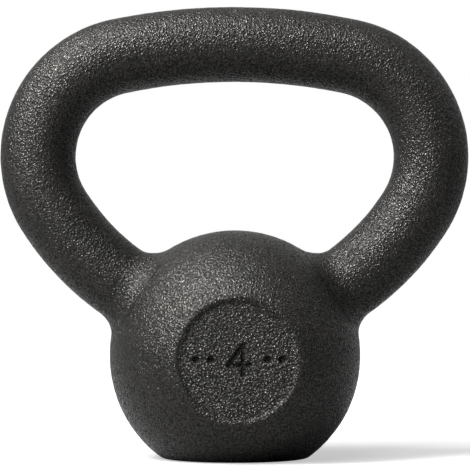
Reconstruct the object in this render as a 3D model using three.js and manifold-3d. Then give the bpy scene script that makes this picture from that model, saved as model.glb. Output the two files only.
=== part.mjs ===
// Kettlebell, 4 kg, all cast iron: a ball with a flat base, one bent round bar for the handle, the
// two weld fillets that blend the bar's roots into the ball, and a round weight disc set in a
// pocket in the front and in the back of the ball.
//
// Millimetres, +Z up. The origin is the middle of the flat base. The grip runs along X, and the
// front of the kettlebell faces -Y.

import * as THREE from 'three';
import { mergeVertices } from 'three/addons/utils/BufferGeometryUtils.js';
import Module from 'manifold-3d';

const wasm = await Module();
wasm.setup();

// ---------------------------------------------------------------- driving dimensions

const GAP = 0.3;                    // clearance between pieces that touch

const BALL_RADIUS = 45.5;
const BALL_CENTRE_HEIGHT = 37.2;    // the flat base cuts the ball this far under its centre

const BAR_RADIUS = 13.6;
const GRIP_HEIGHT = 150.2;          // the bar's centreline above the base, at its highest point
const CROWN_RADIUS = 206;           // slight arch along the top of the grip
const CROWN_TURN = THREE.MathUtils.degToRad(11.7);      // on each side of the middle
const SHOULDER_RADIUS = 37.2;       // tight corners of the handle
const SHOULDER_TURN = THREE.MathUtils.degToRad(111);
const HORN_RADIUS = 92.8;           // slow inward sweep of the horns
const ROOT_DEPTH = 14;              // straight root of the bar inside the ball

const FILLET_RADIUS = 10;           // hollow blend between the horns and the ball
const WELD_TOE_LAND = 1.2;          // how far the weld runs on past the blend, flush with the ball
const WELD_TOP_THICKNESS = 0.5;     // the weld stops where it would get thinner than this
const WELD_ROOT_DEPTH = 4.2;        // depth of the groove around each socket that the weld fills

const FACET_DISTANCE = 39.6;        // flat facets on the front and the back, from the ball's centre
const RIM_WIDTH = 0.9;              // ring of the facet left around the disc's pocket
const DISC_SETBACK = 0.9;           // the disc's face lies this far under the rim
const DISC_THICKNESS = 4;

const MARK_DEPTH = 0.8;             // sunk mark on each disc: the number 4 between two pairs of pips
const MARK_STROKE = 2.3;
const DIGIT_HEIGHT = 12.6;
const DIGIT_WIDTH = 9.6;
const DIGIT_OFFSET = 0.4;           // the 4's stem and crossbar are this share of its half size off middle
const PIP_RADIUS = 1.5;
const PIP_PITCH = 5.2;

const BAR_SIDES = 24;
const BAR_STEPS = 72;
const ROUND_SEGMENTS = 48;          // facets around the ball and the discs
const BALL_ARC_SEGMENTS = 24;
const FILLET_SEGMENTS = 5;
const MARK_SEGMENTS = 6;            // facets around each stroke's end, and around half a pip

const SAME_POINT = 1e-4;            // corners closer than this are one corner

// ---------------------------------------------------------------- derived dimensions

const FACET_RADIUS = Math.sqrt(BALL_RADIUS ** 2 - FACET_DISTANCE ** 2);
const POCKET_RADIUS = FACET_RADIUS - RIM_WIDTH;
const DISC_FACE = FACET_DISTANCE - DISC_SETBACK;
const POCKET_FLOOR = DISC_FACE - DISC_THICKNESS - GAP;
const BALL_CENTRE = new THREE.Vector3(0, 0, BALL_CENTRE_HEIGHT);

const FRONT = -1;
const BACK = 1;
const LEFT = -1;
const RIGHT = 1;

// ---------------------------------------------------------------- the handle's centreline

// An arc of the right half of the centreline, turning down from one heading to the next. A heading
// is the angle below the +X direction, so the point on the arc at a heading h is
// centre + radius * (sin h, cos h) in the X-Z plane.
function arc(start, heading, radius, turn) {
  const centre = new THREE.Vector2(
    start.x - radius * Math.sin(heading),
    start.y - radius * Math.cos(heading),
  );
  const pointAt = (length) => {
    const h = heading + length / radius;
    return new THREE.Vector2(Math.sin(h), Math.cos(h)).multiplyScalar(radius).add(centre);
  };
  const length = radius * turn;
  return { centre, length, pointAt, end: pointAt(length), endHeading: heading + turn };
}

// The turn after which an arc that starts here runs straight at the ball's centre, so that the horn
// meets the ball square to its surface.
function turnTowardsBall(start, heading, radius) {
  const { centre } = arc(start, heading, radius, 0);
  const toCentre = centre.clone().sub(new THREE.Vector2(0, BALL_CENTRE_HEIGHT));
  const bearing = Math.atan2(toCentre.x, toCentre.y);
  const finalHeading = bearing + Math.acos(-radius / toCentre.length());
  return finalHeading - heading;
}

function straight(start, heading, length) {
  const direction = new THREE.Vector2(Math.cos(heading), -Math.sin(heading));
  const pointAt = (along) => direction.clone().multiplyScalar(along).add(start);
  return { length, pointAt };
}

const crown = arc(new THREE.Vector2(0, GRIP_HEIGHT), 0, CROWN_RADIUS, CROWN_TURN);
const shoulder = arc(crown.end, crown.endHeading, SHOULDER_RADIUS, SHOULDER_TURN);
const hornTurn = turnTowardsBall(shoulder.end, shoulder.endHeading, HORN_RADIUS);
const horn = arc(shoulder.end, shoulder.endHeading, HORN_RADIUS, hornTurn);
const hornEndDistance = horn.end.distanceTo(new THREE.Vector2(0, BALL_CENTRE_HEIGHT));
const rootLength = hornEndDistance - BALL_RADIUS + ROOT_DEPTH;
const root = straight(horn.end, horn.endHeading, rootLength);

const HALF_CENTRELINE = [crown, shoulder, horn, root];
const HALF_LENGTH = HALF_CENTRELINE.reduce((sum, stretch) => sum + stretch.length, 0);
const HORN_TILT = horn.endHeading - Math.PI / 2;      // the root's axis, away from the vertical

class HandleCurve extends THREE.Curve {
  getPoint(t, target = new THREE.Vector3()) {
    const signedLength = (2 * t - 1) * HALF_LENGTH;
    let along = Math.abs(signedLength);
    let stretch = 0;
    while (stretch < HALF_CENTRELINE.length - 1 && along > HALF_CENTRELINE[stretch].length) {
      along -= HALF_CENTRELINE[stretch].length;
      stretch += 1;
    }
    const point = HALF_CENTRELINE[stretch].pointAt(along);
    return target.set(Math.sign(signedLength) * point.x, 0, point.y);
  }
}

// ---------------------------------------------------------------- geometry helpers

function toSolid(geometry) {
  const plain = geometry.index ? geometry.clone() : geometry;
  plain.deleteAttribute('normal');
  plain.deleteAttribute('uv');
  const merged = mergeVertices(plain, SAME_POINT);
  return new wasm.Manifold(new wasm.Mesh({
    numProp: 3,
    vertProperties: Float32Array.from(merged.attributes.position.array),
    triVerts: Uint32Array.from(merged.index.array),
  }));
}

function toGeometry(solid) {
  const mesh = solid.getMesh();
  const geometry = new THREE.BufferGeometry();
  geometry.setAttribute('position', new THREE.BufferAttribute(mesh.vertProperties, mesh.numProp));
  geometry.setIndex(new THREE.BufferAttribute(mesh.triVerts, 1));
  geometry.computeVertexNormals();
  return geometry;
}

// Turns a solid made around the Y axis so that it lies around one horn's root, from the centre of
// the ball outwards.
function alongHorn(geometry, side) {
  return geometry.rotateX(Math.PI / 2).rotateY(side * HORN_TILT);
}

// ---------------------------------------------------------------- ball

// Section of the ball around the Y axis: pocket floor, pocket wall, rim, round surface, and the
// same again at the back.
function ballProfile() {
  const rimAngle = Math.asin(FACET_RADIUS / BALL_RADIUS);
  const points = [
    new THREE.Vector2(0, -POCKET_FLOOR),
    new THREE.Vector2(POCKET_RADIUS, -POCKET_FLOOR),
    new THREE.Vector2(POCKET_RADIUS, -FACET_DISTANCE),
  ];
  for (let i = 0; i <= BALL_ARC_SEGMENTS; i += 1) {
    const angle = THREE.MathUtils.lerp(rimAngle, Math.PI - rimAngle, i / BALL_ARC_SEGMENTS);
    points.push(new THREE.Vector2(Math.sin(angle), -Math.cos(angle)).multiplyScalar(BALL_RADIUS));
  }
  points.push(
    new THREE.Vector2(POCKET_RADIUS, FACET_DISTANCE),
    new THREE.Vector2(POCKET_RADIUS, POCKET_FLOOR),
    new THREE.Vector2(0, POCKET_FLOOR),
  );
  return points;
}

// What is cut away for one root of the bar: its socket, and the bevelled groove that the weld fills.
function socketCutter(side) {
  const socketRadius = BAR_RADIUS + GAP;
  const socketFloor = BALL_RADIUS - ROOT_DEPTH - GAP;
  const mouth = weldMouth();
  const bevel = (mouth.radius - socketRadius) / (mouth.height - grooveFloor());
  const outside = BALL_RADIUS + FILLET_RADIUS;
  const profile = [
    new THREE.Vector2(0, socketFloor),
    new THREE.Vector2(socketRadius, socketFloor),
    new THREE.Vector2(socketRadius, grooveFloor()),
    new THREE.Vector2(socketRadius + bevel * (outside - grooveFloor()), outside),
    new THREE.Vector2(0, outside),
  ];
  return toSolid(alongHorn(new THREE.LatheGeometry(profile, ROUND_SEGMENTS), side));
}

function makeBall() {
  const baseCutter = new THREE.BoxGeometry(4 * BALL_RADIUS, 4 * BALL_RADIUS, 2 * BALL_RADIUS);
  baseCutter.translate(0, 0, -BALL_CENTRE_HEIGHT - BALL_RADIUS);
  const solid = toSolid(new THREE.LatheGeometry(ballProfile(), ROUND_SEGMENTS))
    .subtract(toSolid(baseCutter))
    .subtract(socketCutter(LEFT))
    .subtract(socketCutter(RIGHT));
  return toGeometry(solid);
}

// ---------------------------------------------------------------- handle

function makeHandle() {
  const section = new THREE.Shape();
  section.absarc(0, 0, BAR_RADIUS, 0, 2 * Math.PI);
  return new THREE.ExtrudeGeometry(section, {
    extrudePath: new HandleCurve(),
    steps: BAR_STEPS,
    curveSegments: BAR_SIDES / 2,
  });
}

// ---------------------------------------------------------------- welds

// Centre of the blend's hollow arc in a section through the root's axis: radius from the axis, and
// height from the ball's centre.
function filletCentre() {
  const radius = BAR_RADIUS + FILLET_RADIUS;
  return new THREE.Vector2(radius, Math.sqrt((BALL_RADIUS + FILLET_RADIUS) ** 2 - radius ** 2));
}

// The outer edge of the weld on the ball's surface.
function weldMouth() {
  const toe = filletCentre().multiplyScalar(BALL_RADIUS / (BALL_RADIUS + FILLET_RADIUS));
  const radius = toe.x + WELD_TOE_LAND;
  return { toe, radius, height: Math.sqrt(BALL_RADIUS ** 2 - radius ** 2) };
}

function grooveFloor() {
  return weldMouth().height - WELD_ROOT_DEPTH;
}

// Section of the weld: up the bevel, over the toe, up the hollow blend, and back down the bar.
function weldProfile() {
  const bore = BAR_RADIUS + GAP;
  const centre = filletCentre();
  const { toe, radius, height } = weldMouth();
  const topAngle = Math.acos((centre.x - bore - WELD_TOP_THICKNESS) / FILLET_RADIUS);
  const toeAngle = Math.atan2(centre.y - toe.y, centre.x - toe.x);
  const innerCorner = new THREE.Vector2(bore, grooveFloor() + GAP);
  const points = [innerCorner, new THREE.Vector2(radius - GAP, height)];
  for (let i = 0; i <= FILLET_SEGMENTS; i += 1) {
    const angle = THREE.MathUtils.lerp(toeAngle, topAngle, i / FILLET_SEGMENTS);
    points.push(new THREE.Vector2(
      centre.x - FILLET_RADIUS * Math.cos(angle),
      centre.y - FILLET_RADIUS * Math.sin(angle),
    ));
  }
  points.push(new THREE.Vector2(bore, points.at(-1).y), innerCorner.clone());
  return points;
}

function makeWeld(side) {
  return toGeometry(toSolid(alongHorn(new THREE.LatheGeometry(weldProfile(), ROUND_SEGMENTS), side)));
}

// ---------------------------------------------------------------- weight discs

// A round-ended groove between two points of the disc's face, X across and Y up.
function strokeShape(from, to) {
  const angle = Math.atan2(to.y - from.y, to.x - from.x);
  const shape = new THREE.Shape();
  shape.absarc(to.x, to.y, MARK_STROKE / 2, angle - Math.PI / 2, angle + Math.PI / 2);
  shape.absarc(from.x, from.y, MARK_STROKE / 2, angle + Math.PI / 2, angle + 1.5 * Math.PI);
  return shape;
}

function digitFourShapes() {
  const halfHeight = (DIGIT_HEIGHT - MARK_STROKE) / 2;
  const halfWidth = (DIGIT_WIDTH - MARK_STROKE) / 2;
  const stemX = DIGIT_OFFSET * halfWidth;
  const barY = -DIGIT_OFFSET * halfHeight;
  const top = new THREE.Vector2(stemX, halfHeight);
  const foot = new THREE.Vector2(stemX, -halfHeight);
  const barLeft = new THREE.Vector2(-halfWidth, barY);
  const barRight = new THREE.Vector2(halfWidth, barY);
  return [strokeShape(foot, top), strokeShape(top, barLeft), strokeShape(barLeft, barRight)];
}

function pipShapes() {
  const innerPip = DIGIT_WIDTH / 2 + PIP_PITCH;
  return [-innerPip - PIP_PITCH, -innerPip, innerPip, innerPip + PIP_PITCH].map((x) => {
    const shape = new THREE.Shape();
    shape.absarc(x, 0, PIP_RADIUS, 0, 2 * Math.PI);
    return shape;
  });
}

// The front disc faces -Y; the back disc is the same piece turned half round.
function makeWeightDisc(side) {
  const disc = new THREE.CylinderGeometry(
    POCKET_RADIUS - GAP,
    POCKET_RADIUS - GAP,
    DISC_THICKNESS,
    ROUND_SEGMENTS,
  );
  disc.translate(0, -DISC_FACE + DISC_THICKNESS / 2, 0);
  let solid = toSolid(disc);
  for (const shape of [...digitFourShapes(), ...pipShapes()]) {
    const cutter = new THREE.ExtrudeGeometry(shape, {
      depth: 2 * MARK_DEPTH,
      bevelEnabled: false,
      curveSegments: MARK_SEGMENTS,
    });
    cutter.rotateX(Math.PI / 2);
    cutter.translate(0, -DISC_FACE + MARK_DEPTH, 0);
    solid = solid.subtract(toSolid(cutter));
  }
  const geometry = toGeometry(solid);
  return side === BACK ? geometry.rotateZ(Math.PI) : geometry;
}

// ---------------------------------------------------------------- assembly

const coatedIron = { color: 0x1d1b1c, roughness: 0.55, metalness: 0.25 };
const coatedDisc = { color: 0x191718, roughness: 0.62, metalness: 0.25 };

function piece(name, geometry, look) {
  const mesh = new THREE.Mesh(geometry, new THREE.MeshStandardMaterial(look));
  mesh.name = name;
  return mesh;
}

const ballAndRoots = new THREE.Group();
ballAndRoots.position.copy(BALL_CENTRE);
ballAndRoots.add(
  piece('ball', makeBall(), coatedIron),
  piece('left_weld', makeWeld(LEFT), coatedIron),
  piece('right_weld', makeWeld(RIGHT), coatedIron),
  piece('front_weight_disc', makeWeightDisc(FRONT), coatedDisc),
  piece('back_weight_disc', makeWeightDisc(BACK), coatedDisc),
);

const kettlebell = new THREE.Group();
kettlebell.name = 'kettlebell';
kettlebell.add(ballAndRoots, piece('handle', makeHandle(), coatedIron));

export default kettlebell;
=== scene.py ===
# Kettlebell, 4 kg: cast iron under a near-black, wrinkled powder coat.
#
# Metres, in the CAD model's frame: +Z up, the grip along X, the front of the ball facing -Y, and the
# origin in the middle of the flat base. Every piece stands for one CAD node and is a closed mesh of
# its own. They share one relief and one coat, so the bell reads as a single casting.

import math

import bmesh
import bpy
import numpy as np
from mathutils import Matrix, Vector, noise


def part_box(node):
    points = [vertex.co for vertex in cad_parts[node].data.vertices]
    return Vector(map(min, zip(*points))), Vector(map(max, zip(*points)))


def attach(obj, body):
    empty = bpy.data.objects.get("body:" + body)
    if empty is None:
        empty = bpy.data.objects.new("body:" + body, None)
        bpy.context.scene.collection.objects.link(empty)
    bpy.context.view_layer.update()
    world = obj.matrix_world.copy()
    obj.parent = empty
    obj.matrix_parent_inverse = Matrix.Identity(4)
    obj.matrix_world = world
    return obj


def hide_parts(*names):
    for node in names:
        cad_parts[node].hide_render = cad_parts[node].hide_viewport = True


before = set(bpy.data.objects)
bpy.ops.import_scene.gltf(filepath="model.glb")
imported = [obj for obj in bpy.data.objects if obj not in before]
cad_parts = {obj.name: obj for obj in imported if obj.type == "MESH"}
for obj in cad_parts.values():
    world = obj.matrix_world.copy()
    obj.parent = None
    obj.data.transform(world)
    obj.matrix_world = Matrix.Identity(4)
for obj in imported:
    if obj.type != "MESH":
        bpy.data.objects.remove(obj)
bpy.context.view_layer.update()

MM = 0.001

# ---------------------------------------------------------------- sizes, from the frame

ball_low, ball_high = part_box("ball")
bar_low, bar_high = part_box("handle")
disc_low, disc_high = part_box("front_weight_disc")

BALL_RADIUS = (ball_high.x - ball_low.x) / 2
BALL_CENTRE = Vector((0, 0, ball_high.z - BALL_RADIUS))
FACET_DISTANCE = ball_high.y
BAR_RADIUS = bar_high.y
GRIP_HEIGHT = bar_high.z - BAR_RADIUS
DISC_RADIUS = (disc_high.x - disc_low.x) / 2
DISC_FACE = -disc_low.y
DISC_BACK = -disc_high.y

# The handle's bend, which the frame's boxes don't hold.
CROWN_RADIUS = 206 * MM
CROWN_TURN = math.radians(11.7)
SHOULDER_RADIUS = 37.2 * MM
SHOULDER_TURN = math.radians(111)
HORN_RADIUS = 92.8 * MM
ROOT_DEPTH = 14 * MM

# The hollow blend between horn and ball is wider on the window's side than underneath.
FILLET_RADIUS = 10 * MM
FILLET_SPREAD = 1.3 * MM
WELD_ROOT_DEPTH = 8 * MM            # how far the weld's root reaches under the ball's surface
SKIN_OVERLAP = 0.1 * MM             # a weld's thin edges end this far inside its neighbours
EDGE_REACH = 0.3 * MM               # and run on this far under their skins

BASE_EDGE_SOFTNESS = 1.0 * MM
RELIEF_FADE = 2 * MM                # the casting's relief fades out over this height above the base
RIM_SOFTNESS = 1.0 * MM             # rounds the edge between the ball and the facet
RECESS_RADIUS = 22.4 * MM           # where the facet starts to sink to the disc's face
RECESS_SHIFT = (-0.6 * MM, -0.7 * MM)   # the recess sits off the ball's centre: across, and up
RECESS_WALL = 2.6 * MM              # width of that slope
RIM_WOBBLE = 0.35 * MM              # the rim of a casting isn't quite round
RIM_WAVES = ((2, 1.0, 0.0), (5, 0.4, 1.0), (7, 0.4, -math.pi / 2))  # number, share and phase of each
POCKET_CLEARANCE = 0.3 * MM

MARK_DEPTH = 1.2 * MM
MARK_STROKE = 2.3 * MM
MARK_WALL = 0.8 * MM                # width of a groove's sloping side
DIGIT_HEIGHT = 12.6 * MM
DIGIT_WIDTH = 9.6 * MM
DIGIT_OFFSET = 0.4                  # the 4's stem and crossbar lie this share of its half size off middle
PIP_RADIUS = 1.5 * MM
PIP_PITCH = 5.2 * MM

# The casting's unevenness: long waves, and soft orange peel.
RELIEF_WAVES = (                    # size and depth of each
    (22 * MM, 0.10 * MM),
    (7 * MM, 0.04 * MM),
    (2.6 * MM, 0.04 * MM),
    (1.5 * MM, 0.05 * MM),
)

SKIN_STEP = 0.65 * MM               # spacing of the mesh over the casting
FINE_STEP = 0.25 * MM               # and over the discs and their rims
RIM_ZONE = 25 * MM                  # the fine mesh reaches out to here from the disc's axis
TINY = 1e-6                         # keeps a division off zero

# ---------------------------------------------------------------- coat, light and camera

COAT_GRAIN = 0.78 * MM              # spacing of the coat's pebbles
COAT_DEPTH = 0.33 * MM
DISC_GRAIN = 0.85 * MM              # the discs' coat is coarser
DISC_DEPTH = 0.60 * MM
WRINKLES = {"Detail": 2, "Roughness": 0.5, "Distortion": 1.0}
PEBBLES = {"Smoothness": 0.5, "Randomness": 1.0}
PATCHES = {"Detail": 3, "Roughness": 0.6}
PATCH_SIZE = 15 * MM                # the black turns warmer and cooler in patches of this size
COOL_BLACK = (0.040, 0.039, 0.038, 1)
WARM_BLACK = (0.062, 0.058, 0.053, 1)
# painted shade: the colour of the coat's pits, darkened for the shade that falls in them
PIT_PAINTED_SHADE = (0.003, 0.003, 0.003, 1)
PIT_HEIGHT = -0.25                  # wrinkles less pebbles: from here down the coat is all pit,
PEAK_HEIGHT = 0.3                   # and from here up all peak
PIT_ROUGHNESS = 0.5
PEAK_ROUGHNESS = 0.15
COAT_GLOSS = 0.2                    # specular level
MIX_A, MIX_B, MIX_RESULT = 6, 7, 2  # a colour mix's sockets: both colours, and the result

MIDDLE = Vector((0, 0, 81 * MM))    # what the camera and the lights look at
CAMERA_TURN = math.radians(2.2)     # the bell's front is turned this much to the picture's right
CAMERA_DISTANCE = 1.13
VIEW_WIDTH = 170.75 * MM            # width of the picture at the bell
SENSOR_WIDTH = 36.0                 # in millimetres, as the focal length is

FLOOR_HALF = 3.0
FLOOR_COLOUR = (0.26, 0.26, 0.26, 1)
FLOOR_ROUGHNESS = 0.9
WHITE = (1, 1, 1, 1)
PAINTED_GLOW_NEAR = 0.5                     # painted light: how much the floor glows for the camera at the bell
PAINTED_GLOW_FAR = 0.95                     # and from PAINTED_GLOW_REACH outwards
PAINTED_GLOW_REACH = 0.5
WALL_LIGHT = 0.55                   # light from the far wall behind the bell
SOFTBOX_DISTANCE = 1.3
SOFTBOXES = (                       # name, bearing and height in degrees, size, watts
    ("key", -58, 49, 0.45, 44),
    ("top", -65, 70, 0.5, 8),
    ("front_top", -15, 50, 0.5, 7),
    ("front_left", -44, 30, 0.5, 9),
    ("right", 100, 35, 0.5, 3),
)


# ---------------------------------------------------------------- shaping helpers

def smooth_step(x):
    x = np.clip(x, 0, 1)
    return x * x * (3 - 2 * x)


def smooth_min(a, b, width):
    """The lesser of a and b, with the corner between them rounded over about this width."""
    share = np.clip(0.5 + 0.5 * (b - a) / width, 0, 1)
    return b * (1 - share) + a * share - width * share * (1 - share)


def cast_relief(points):
    """Height of the casting's own unevenness at each point."""
    height = np.zeros(len(points))
    for size, depth in RELIEF_WAVES:
        height += depth * np.array([noise.noise(Vector(point / size)) for point in points])
    return height


def ring_faces(rows, columns):
    """Quads between neighbouring rings of points, each ring closed on itself."""
    ring = np.arange(columns)
    after = (ring + 1) % columns
    starts = columns * np.arange(rows - 1)[:, None]
    corners = [starts + ring, starts + after, starts + columns + after, starts + columns + ring]
    return np.stack(corners, axis=-1).reshape(-1, 4).tolist()


def new_piece(node, points, skin, inner, material):
    """A closed mesh that stands for a CAD node. Its skin is smooth; the inner faces, which other
    pieces cover, are flat, so the skin's shading runs up to its edge unchanged."""
    mesh = bpy.data.meshes.new(node)
    mesh.from_pydata(np.asarray(points).tolist(), [], skin + inner)
    mesh.polygons.foreach_set("use_smooth", [True] * len(skin) + [False] * len(inner))
    turned = bmesh.new()
    turned.from_mesh(mesh)
    bmesh.ops.recalc_face_normals(turned, faces=turned.faces)
    turned.to_mesh(mesh)
    turned.free()
    mesh.materials.append(material)
    piece = bpy.data.objects.new(node + "_cast", mesh)
    bpy.context.scene.collection.objects.link(piece)
    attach(piece, "root")
    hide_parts(node)
    return piece


# ---------------------------------------------------------------- the handle

def bent_half(distance):
    """Place and heading on the right half of the centreline, this far from the middle of the grip:
    x, z, and the angle below +X. Past the last bend it runs straight on into the ball."""
    x, z, heading = 0.0, GRIP_HEIGHT, 0.0
    for radius, turn in bends:
        swept = min(distance, radius * turn) / radius
        x += radius * (math.sin(heading + swept) - math.sin(heading))
        z += radius * (math.cos(heading + swept) - math.cos(heading))
        heading += swept
        distance -= radius * swept
    return x + distance * math.cos(heading), z - distance * math.sin(heading), heading


def bent_length():
    return sum(radius * turn for radius, turn in bends)


def turn_towards_ball():
    """The horn's turn, after which it runs straight at the ball's centre."""
    x, z, heading = bent_half(bent_length())
    across = x - HORN_RADIUS * math.sin(heading)
    up = z - HORN_RADIUS * math.cos(heading) - BALL_CENTRE.z
    bearing = math.atan2(across, up)
    return bearing + math.acos(-HORN_RADIUS / math.hypot(across, up)) - heading


# The horn's turn is worked out from where the crown and the shoulder end.
bends = [(CROWN_RADIUS, CROWN_TURN), (SHOULDER_RADIUS, SHOULDER_TURN)]
bends.append((HORN_RADIUS, turn_towards_ball()))
horn_end_x, horn_end_z, _ = bent_half(bent_length())
length_to_centre = bent_length() + math.hypot(horn_end_x, horn_end_z - BALL_CENTRE.z)


def around_bar(distance, side, radius, angles):
    """Points around the bar's centreline and their directions outwards. Angle 0 faces the window,
    and the distance is that from the middle of the grip."""
    x, z, heading = bent_half(distance)
    centre = np.array([side * x, 0, z])
    inward = np.array([-side * math.sin(heading), 0, -math.cos(heading)])
    outward = np.outer(np.cos(angles), inward) + np.outer(np.sin(angles), [0, 1, 0])
    return centre + radius * outward, outward


def make_handle(material):
    columns = round(2 * math.pi * BAR_RADIUS / SKIN_STEP)
    angles = np.linspace(0, 2 * math.pi, columns, endpoint=False)
    half_length = length_to_centre - BALL_RADIUS + ROOT_DEPTH
    rows = round(2 * half_length / SKIN_STEP)
    points, outward = [], []
    for along in np.linspace(-half_length, half_length, rows):
        side = 1 if along >= 0 else -1
        ring, directions = around_bar(abs(along), side, BAR_RADIUS, angles)
        points.append(ring)
        outward.append(directions)
    points = np.concatenate(points)
    points += np.concatenate(outward) * cast_relief(points)[:, None]
    first_end = list(range(columns))
    last_end = list(range((rows - 1) * columns, rows * columns))
    return new_piece("handle", points, ring_faces(rows, columns), [first_end, last_end], material)


# ---------------------------------------------------------------- the welds

def weld_section(fillet, rows):
    """Section of the weld where its blend has this radius, as distances from the bar's axis and
    from the ball's centre: up the hollow blend, then back down through the iron."""
    axis = BAR_RADIUS + fillet
    height = math.sqrt((BALL_RADIUS + fillet) ** 2 - axis ** 2)
    angles = np.linspace(math.atan2(height, axis), 0, rows)
    blend = np.stack([axis - fillet * np.cos(angles), height - fillet * np.sin(angles)], axis=1)
    top = [BAR_RADIUS - SKIN_OVERLAP, height + EDGE_REACH]
    root = [BAR_RADIUS - SKIN_OVERLAP, BALL_RADIUS - WELD_ROOT_DEPTH]
    toe = blend[0] * (1 - SKIN_OVERLAP / BALL_RADIUS) + [EDGE_REACH, 0]
    return np.concatenate([blend, [top, root, toe]])


def make_weld(node, side, material):
    columns = round(2 * math.pi * (BAR_RADIUS + FILLET_RADIUS) / SKIN_STEP)
    blend_rows = round(FILLET_RADIUS / SKIN_STEP)
    angles = np.linspace(0, 2 * math.pi, columns, endpoint=False)
    lines = []
    for angle in angles:
        section = weld_section(FILLET_RADIUS + FILLET_SPREAD * math.cos(angle), blend_rows)
        line = [
            around_bar(length_to_centre - height, side, radius, [angle])[0][0]
            for radius, height in section
        ]
        lines.append(line)
    rings = np.array(lines).transpose(1, 0, 2)
    rows = len(rings)
    points = rings.reshape(-1, 3)
    slope = np.gradient(rings[:blend_rows], axis=0)
    along = np.roll(rings[:blend_rows], -1, axis=1) - np.roll(rings[:blend_rows], 1, axis=1)
    outward = side * np.cross(slope, along)
    outward /= np.linalg.norm(outward, axis=2, keepdims=True)
    skin_points = blend_rows * columns
    relief = cast_relief(points[:skin_points])
    points[:skin_points] += outward.reshape(-1, 3) * relief[:, None]
    faces = ring_faces(rows, columns)
    ring = np.arange(columns)
    after = (ring + 1) % columns
    last = (rows - 1) * columns
    closing = np.stack([last + ring, last + after, after, ring], axis=1).tolist()
    skin_count = (blend_rows - 1) * columns
    return new_piece(node, points, faces[:skin_count], faces[skin_count:] + closing, material)


# ---------------------------------------------------------------- the ball

def recess_edge(angle):
    """Radius of the recess around the disc's axis, where angle 0 is up and a quarter turn is +X."""
    across, up = RECESS_SHIFT
    wobble = sum(share * np.cos(number * angle + phase) for number, share, phase in RIM_WAVES)
    return RECESS_RADIUS + across * np.sin(angle) + up * np.cos(angle) + RIM_WOBBLE * wobble


def facet_height(radius, angle):
    """Distance of the front or back surface from the ball's middle plane, at this radius and angle
    around the disc's axis: ball, rounded rim, and the slope down to the disc's face."""
    round_surface = np.sqrt(np.maximum(BALL_RADIUS ** 2 - radius ** 2, 0))
    rim = smooth_min(round_surface, FACET_DISTANCE, RIM_SOFTNESS)
    slope = smooth_step((recess_edge(angle) - radius) / RECESS_WALL)
    return rim - (FACET_DISTANCE - DISC_FACE) * slope


def stand_flat(points):
    """Cuts the base flat: points under it, given from the ball's centre, are drawn in to it."""
    reach = np.linalg.norm(points, axis=1)
    downward = np.maximum(-points[:, 2] / reach, TINY)
    return points * (smooth_min(reach, BALL_CENTRE.z / downward, BASE_EDGE_SOFTNESS) / reach)[:, None]


def make_ball(material):
    columns = round(2 * math.pi * BALL_RADIUS / SKIN_STEP)
    angles = np.linspace(0, 2 * math.pi, columns, endpoint=False)
    rim_radii = np.arange(DISC_RADIUS, RIM_ZONE, FINE_STEP)
    zone_angle = math.asin(RIM_ZONE / BALL_RADIUS)
    arc_rows = round((math.pi - 2 * zone_angle) * BALL_RADIUS / SKIN_STEP)
    rings = []
    for radius in rim_radii:
        rings.append((radius, -facet_height(radius, angles)))
    for tilt in np.linspace(zone_angle, math.pi - zone_angle, arc_rows):
        rings.append((BALL_RADIUS * math.sin(tilt), -BALL_RADIUS * math.cos(tilt)))
    for radius in rim_radii[::-1]:
        rings.append((radius, facet_height(radius, angles)))
    skin_rows = len(rings)
    pocket = (DISC_RADIUS + POCKET_CLEARANCE, DISC_BACK - POCKET_CLEARANCE)
    rings.append(pocket)
    rings.insert(0, (pocket[0], -pocket[1]))
    points = []
    for radius, depth in rings:
        ring = np.stack([radius * np.sin(angles), depth + 0 * angles, radius * np.cos(angles)], axis=1)
        points.append(ring)
    points = stand_flat(np.concatenate(points))
    outward = points / np.linalg.norm(points, axis=1, keepdims=True)
    off_base = smooth_step((points[:, 2] + BALL_CENTRE.z) / RELIEF_FADE)
    places = points + np.array(BALL_CENTRE)
    places += outward * (cast_relief(places) * off_base)[:, None]
    faces = ring_faces(len(rings), columns)
    first_floor = list(range(columns))
    last_floor = list(range((len(rings) - 1) * columns, len(rings) * columns))
    inner = faces[:columns] + faces[-columns:] + [first_floor, last_floor]
    return new_piece("ball", places, faces[columns:-columns], inner, material)


# ---------------------------------------------------------------- the weight discs

def stroke_distance(x, z, start, end):
    """Distance from each point to the edge of a round-ended stroke; it is negative inside."""
    run = np.subtract(end, start)
    share = ((x - start[0]) * run[0] + (z - start[1]) * run[1]) / run.dot(run)
    share = np.clip(share, 0, 1)
    across = np.hypot(x - start[0] - share * run[0], z - start[1] - share * run[1])
    return across - MARK_STROKE / 2


def mark_distance(x, z):
    """Distance from each point of a disc to the edge of its mark: the number 4 between pips."""
    half_height = (DIGIT_HEIGHT - MARK_STROKE) / 2
    half_width = (DIGIT_WIDTH - MARK_STROKE) / 2
    stem = DIGIT_OFFSET * half_width
    crossbar = -DIGIT_OFFSET * half_height
    top, foot = (stem, half_height), (stem, -half_height)
    bar_left, bar_right = (-half_width, crossbar), (half_width, crossbar)
    nearest = np.minimum(stroke_distance(x, z, foot, top), stroke_distance(x, z, top, bar_left))
    nearest = np.minimum(nearest, stroke_distance(x, z, bar_left, bar_right))
    inner_pip = DIGIT_WIDTH / 2 + PIP_PITCH
    for pip_x in (-inner_pip - PIP_PITCH, -inner_pip, inner_pip, inner_pip + PIP_PITCH):
        nearest = np.minimum(nearest, np.hypot(x - pip_x, z) - PIP_RADIUS)
    return nearest


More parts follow.
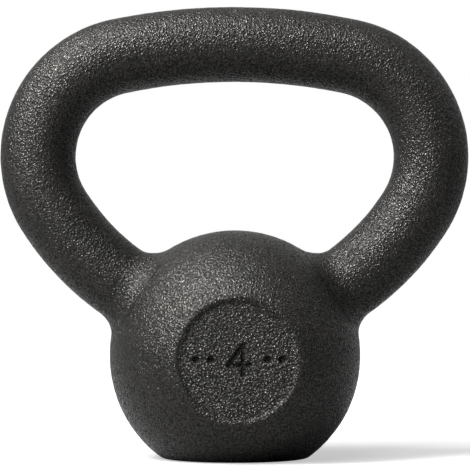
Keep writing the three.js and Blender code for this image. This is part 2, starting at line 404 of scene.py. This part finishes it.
def make_disc(node, side, material):
    """One disc: its face is a square grid bent into a circle, and side is -1 for the front."""
    count = round(2 * DISC_RADIUS / FINE_STEP)
    line = np.linspace(-1, 1, count)
    u, v = (grid.ravel() for grid in np.meshgrid(line, line))
    across = DISC_RADIUS * u * np.sqrt(1 - v * v / 2)
    up = DISC_RADIUS * v * np.sqrt(1 - u * u / 2)
    radius, angle = np.hypot(across, up), np.arctan2(-side * across, up)
    height = facet_height(radius, angle)
    height -= MARK_DEPTH * smooth_step(-mark_distance(across, up) / MARK_WALL)
    points = np.stack([-side * across, side * height, up], axis=1) + np.array(BALL_CENTRE)
    points[:, 1] += side * cast_relief(points)
    index = np.arange(count * count).reshape(count, count)
    corners = [index[:-1, :-1], index[:-1, 1:], index[1:, 1:], index[1:, :-1]]
    skin = np.stack(corners, axis=-1).reshape(-1, 4).tolist()
    edge = np.concatenate([index[0, :-1], index[:-1, -1], index[-1, :0:-1], index[:0:-1, 0]])
    back = points[edge].copy()
    back[:, 1] = side * DISC_BACK
    low = len(points) + np.arange(len(edge))
    wall = np.stack([edge, np.roll(edge, -1), np.roll(low, -1), low], axis=1).tolist()
    points = np.concatenate([points, back])
    return new_piece(node, points, skin, wall + [low.tolist()], material)


# ---------------------------------------------------------------- materials

def add_node(tree, kind, inputs=(), **settings):
    node = tree.nodes.new(kind)
    for name, value in settings.items():
        setattr(node, name, value)
    for name, value in dict(inputs).items():
        if isinstance(value, bpy.types.NodeSocket):
            tree.links.new(value, node.inputs[name])
        else:
            node.inputs[name].default_value = value
    return node


def make_coat(name, grain, depth):
    """Near-black powder coat: glossy pebbles and wrinkles over dull pits, which are coloured darker as
    painted shade. Grain is their spacing and depth how far they stand out, both in metres."""
    material = bpy.data.materials.new(name)
    material.use_nodes = True
    tree = material.node_tree
    shader = tree.nodes["Principled BSDF"]
    place = add_node(tree, "ShaderNodeTexCoord").outputs["Object"]
    wrinkles = add_node(tree, "ShaderNodeTexNoise", {
        "Vector": place, "Scale": 1 / grain, **WRINKLES,
    })
    pebbles = add_node(tree, "ShaderNodeTexVoronoi", {
        "Vector": place, "Scale": 1 / grain, **PEBBLES,
    }, feature="SMOOTH_F1")
    height = add_node(tree, "ShaderNodeMath", {
        0: wrinkles.outputs["Fac"], 1: pebbles.outputs["Distance"],
    }, operation="SUBTRACT")
    bump = add_node(tree, "ShaderNodeBump", {
        "Height": height.outputs[0], "Distance": depth, "Strength": 1.0,
    })
    tree.links.new(bump.outputs["Normal"], shader.inputs["Normal"])
    peaks = add_node(tree, "ShaderNodeMapRange", {
        "Value": height.outputs[0], "From Min": PIT_HEIGHT, "From Max": PEAK_HEIGHT,
    }, interpolation_type="SMOOTHSTEP")
    roughness = add_node(tree, "ShaderNodeMapRange", {
        "Value": peaks.outputs["Result"], "To Min": PIT_ROUGHNESS, "To Max": PEAK_ROUGHNESS,
    })
    tree.links.new(roughness.outputs["Result"], shader.inputs["Roughness"])
    tree.links.new(peaks.outputs["Result"], shader.inputs["Metallic"])
    patches = add_node(tree, "ShaderNodeTexNoise", {
        "Vector": place, "Scale": 1 / PATCH_SIZE, **PATCHES,
    })
    black = add_node(tree, "ShaderNodeMix", {
        "Factor": patches.outputs["Fac"], MIX_A: COOL_BLACK, MIX_B: WARM_BLACK,
    }, data_type="RGBA")
    # painted shade: the pits get a near-black colour for the shade that falls in them, the peaks the
    # coat's black
    colour = add_node(tree, "ShaderNodeMix", {
        "Factor": peaks.outputs["Result"], MIX_A: PIT_PAINTED_SHADE, MIX_B: black.outputs[MIX_RESULT],
    }, data_type="RGBA")
    tree.links.new(colour.outputs[MIX_RESULT], shader.inputs["Base Color"])
    shader.inputs["Specular IOR Level"].default_value = COAT_GLOSS
    return material


# ---------------------------------------------------------------- floor, light and camera

def make_floor():
    """Pale floor. It throws back less light than the camera sees in it: for camera rays it glows, painted
    light that is weaker at the bell and stronger further out.
    """
    mesh = bpy.data.meshes.new("floor")
    corners = [(x * FLOOR_HALF, y * FLOOR_HALF, 0) for x, y in ((-1, -1), (1, -1), (1, 1), (-1, 1))]
    mesh.from_pydata(corners, [], [(0, 1, 2, 3)])
    floor = bpy.data.objects.new("floor", mesh)
    bpy.context.scene.collection.objects.link(floor)
    material = bpy.data.materials.new("floor_paper")
    material.use_nodes = True
    tree = material.node_tree
    shader = tree.nodes["Principled BSDF"]
    shader.inputs["Base Color"].default_value = FLOOR_COLOUR
    shader.inputs["Roughness"].default_value = FLOOR_ROUGHNESS
    shader.inputs["Specular IOR Level"].default_value = 0.0
    shader.inputs["Emission Color"].default_value = WHITE
    place = add_node(tree, "ShaderNodeTexCoord").outputs["Object"]
    away = add_node(tree, "ShaderNodeVectorMath", {0: place}, operation="LENGTH")
    # painted light: a glow that only camera rays see, rising from the bell outwards
    glow = add_node(tree, "ShaderNodeMapRange", {
        "Value": away.outputs["Value"], "From Max": PAINTED_GLOW_REACH,
        "To Min": PAINTED_GLOW_NEAR, "To Max": PAINTED_GLOW_FAR,
    }, interpolation_type="SMOOTHSTEP")
    seen = add_node(tree, "ShaderNodeLightPath").outputs["Is Camera Ray"]
    seen_glow = add_node(tree, "ShaderNodeMath", {
        0: seen, 1: glow.outputs["Result"],
    }, operation="MULTIPLY")
    tree.links.new(seen_glow.outputs[0], shader.inputs["Emission Strength"])
    mesh.materials.append(material)


def add_softbox(name, turn, height, size, power):
    """A square light facing the bell. Turn is its bearing from the front, left below zero, and
    height its angle above the floor, both in degrees."""
    light = bpy.data.lights.new(name, "AREA")
    light.size = size
    light.energy = power
    lamp = bpy.data.objects.new(name, light)
    turn, height = math.radians(turn), math.radians(height)
    level = math.cos(height)
    outward = Vector((math.sin(turn) * level, -math.cos(turn) * level, math.sin(height)))
    lamp.location = MIDDLE + SOFTBOX_DISTANCE * outward
    lamp.rotation_euler = outward.to_track_quat("Z", "Y").to_euler()
    bpy.context.scene.collection.objects.link(lamp)


def light_scene():
    """Softboxes at the upper left and a bright wall far behind, which lights the edges. The camera
    itself sees a plain white background."""
    world = bpy.data.worlds.new("studio")
    bpy.context.scene.world = world
    world.use_nodes = True
    tree = world.node_tree
    background = tree.nodes["Background"]
    background.inputs["Color"].default_value = WHITE
    direction = add_node(tree, "ShaderNodeTexCoord").outputs["Generated"]
    backwards = add_node(tree, "ShaderNodeVectorMath", {
        0: direction, 1: (0, WALL_LIGHT, 0),
    }, operation="DOT_PRODUCT")
    seen = add_node(tree, "ShaderNodeLightPath").outputs["Is Camera Ray"]
    strength = add_node(tree, "ShaderNodeMath", {
        0: backwards.outputs["Value"], 1: seen,
    }, operation="MAXIMUM")
    tree.links.new(strength.outputs[0], background.inputs["Strength"])
    for softbox in SOFTBOXES:
        add_softbox(*softbox)


def place_camera():
    camera = bpy.data.cameras.new("camera")
    camera.sensor_width = SENSOR_WIDTH
    camera.lens = SENSOR_WIDTH * CAMERA_DISTANCE / VIEW_WIDTH
    viewer = bpy.data.objects.new("camera", camera)
    turned = Vector((-math.sin(CAMERA_TURN), -math.cos(CAMERA_TURN), 0))
    viewer.location = MIDDLE + CAMERA_DISTANCE * turned
    viewer.rotation_euler = (math.radians(90), 0, -CAMERA_TURN)
    bpy.context.scene.collection.objects.link(viewer)
    bpy.context.scene.camera = viewer


# ---------------------------------------------------------------- assembly

fine_coat = make_coat("powder_coat", COAT_GRAIN, COAT_DEPTH)
coarse_coat = make_coat("powder_coat_coarse", DISC_GRAIN, DISC_DEPTH)

make_ball(fine_coat)
make_handle(fine_coat)
make_weld("left_weld", -1, fine_coat)
make_weld("right_weld", 1, fine_coat)
make_disc("front_weight_disc", -1, coarse_coat)
make_disc("back_weight_disc", 1, coarse_coat)

make_floor()
light_scene()
place_camera()
bpy.context.scene.view_settings.view_transform = "Standard"
